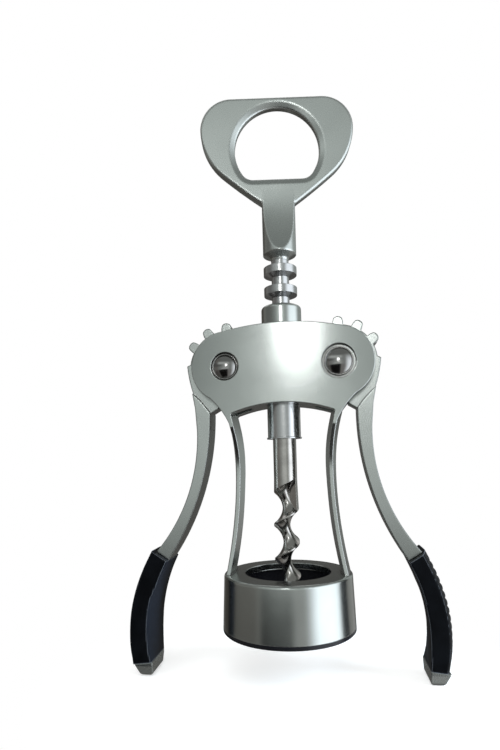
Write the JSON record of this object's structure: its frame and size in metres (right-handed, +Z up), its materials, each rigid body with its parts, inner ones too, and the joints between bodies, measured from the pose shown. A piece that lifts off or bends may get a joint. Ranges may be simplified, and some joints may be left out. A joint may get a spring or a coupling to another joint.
{
  "type": "wing corkscrew",
  "caption": "Wing corkscrew with a ringed rack, toothed side levers with soft grips, a helical worm and a bottle-opener handle.",
  "frame": {"origin": "centre of the bottle seat's mouth, at the base ring's underside on the worm's axis", "axes": "+Z up the worm's axis towards the handle, +X towards the right lever, -Y towards the front"},
  "size_m": [0.1036, 0.044, 0.191],
  "materials": {
    "satin_metal": "satin nickel over a zinc casting",
    "bright_metal": "polished chrome",
    "steel": "plain polished steel",
    "black_plastic": "smooth black plastic",
    "soft_grip": "matt black soft-touch moulding"
  },
  "bodies": {
    "frame": {"frame_casting": "satin_metal", "bottle_seat_liner": "black_plastic", "left_pivot_pin": "steel", "right_pivot_pin": "steel", "left_front_cap": "bright_metal", "left_rear_cap": "bright_metal", "right_front_cap": "bright_metal", "right_rear_cap": "bright_metal"},
    "left_lever": {"left_lever": "satin_metal", "left_grip": "soft_grip"},
    "right_lever": {"right_lever": "satin_metal", "right_grip": "soft_grip"},
    "rack": {"rack_sleeve": "satin_metal"},
    "spindle": {"opener_handle": "satin_metal", "worm": "steel"}
  },
  "joints": [
    {"name": "left_lever_pivot", "type": "hinge", "parent": "frame", "child": "left_lever", "pos_m": [-0.0182, 0, 0.0865], "axis": [0, 1, 0], "range_deg": [0, 130]},
    {"name": "right_lever_pivot", "type": "hinge", "parent": "frame", "child": "right_lever", "pos_m": [0.0182, 0, 0.0865], "axis": [0, -1, 0], "range_deg": [0, 130]},
    {"name": "rack_slide", "type": "slide", "parent": "frame", "child": "rack", "axis": [0, 0, -1], "range_m": [0, 0.0314]},
    {"name": "handle_spin", "type": "hinge", "parent": "rack", "child": "spindle", "pos_m": [0, 0, 0.09], "axis": [0, 0, 1], "continuous": true}
  ],
  "couplings": [
    {"joint": "right_lever_pivot", "follows": "left_lever_pivot", "ratio": 1},
    {"joint": "rack_slide", "follows": "left_lever_pivot", "m_per_rad": 0.0138}
  ]
}
